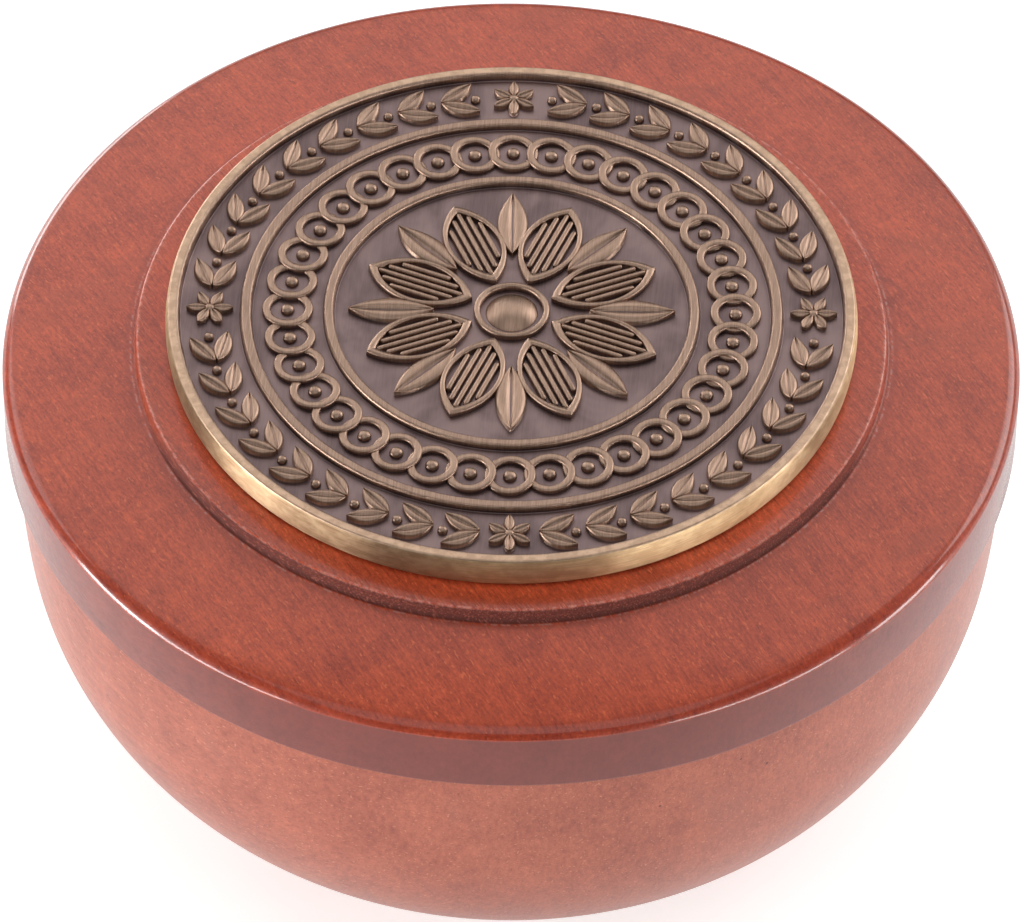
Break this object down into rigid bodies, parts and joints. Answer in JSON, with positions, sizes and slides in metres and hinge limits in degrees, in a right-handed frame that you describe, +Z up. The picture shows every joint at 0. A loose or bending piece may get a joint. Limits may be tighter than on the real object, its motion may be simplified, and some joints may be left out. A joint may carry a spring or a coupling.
{
  "type": "shaving soap bowl",
  "caption": "Round turned-wood bowl for shaving soap, with a lift-off domed lid that carries a cast metal medallion in relief.",
  "frame": {"origin": "centre of the bowl's flat foot, on the surface that it stands on", "axes": "+Z up along the turning axis; -Y towards the viewer of the picture"},
  "size_m": [0.11, 0.11, 0.0596],
  "materials": {
    "bowl_wood": "satin lacquer on orange-brown stained wood",
    "lid_wood": "satin lacquer on red-brown stained wood",
    "soap": "smooth pressed soap",
    "adhesive": "translucent adhesive film",
    "antiqued_brass": "dark patina in the field, brushed bright on the relief and rim"
  },
  "bodies": {
    "bowl_body": {"bowl": "bowl_wood"},
    "soap_body": {"soap_puck": "soap"},
    "lid_body": {"lid": "lid_wood", "bond_pad": "adhesive", "medallion": "antiqued_brass"}
  },
  "joints": [
    {"name": "lid_lift", "type": "slide", "parent": "bowl_body", "child": "lid_body", "axis": [0, 0, 1], "range_m": [0, 0.065]},
    {"name": "soap_lift", "type": "slide", "parent": "bowl_body", "child": "soap_body", "axis": [0, 0, 1], "range_m": [0, 0.009]}
  ]
}
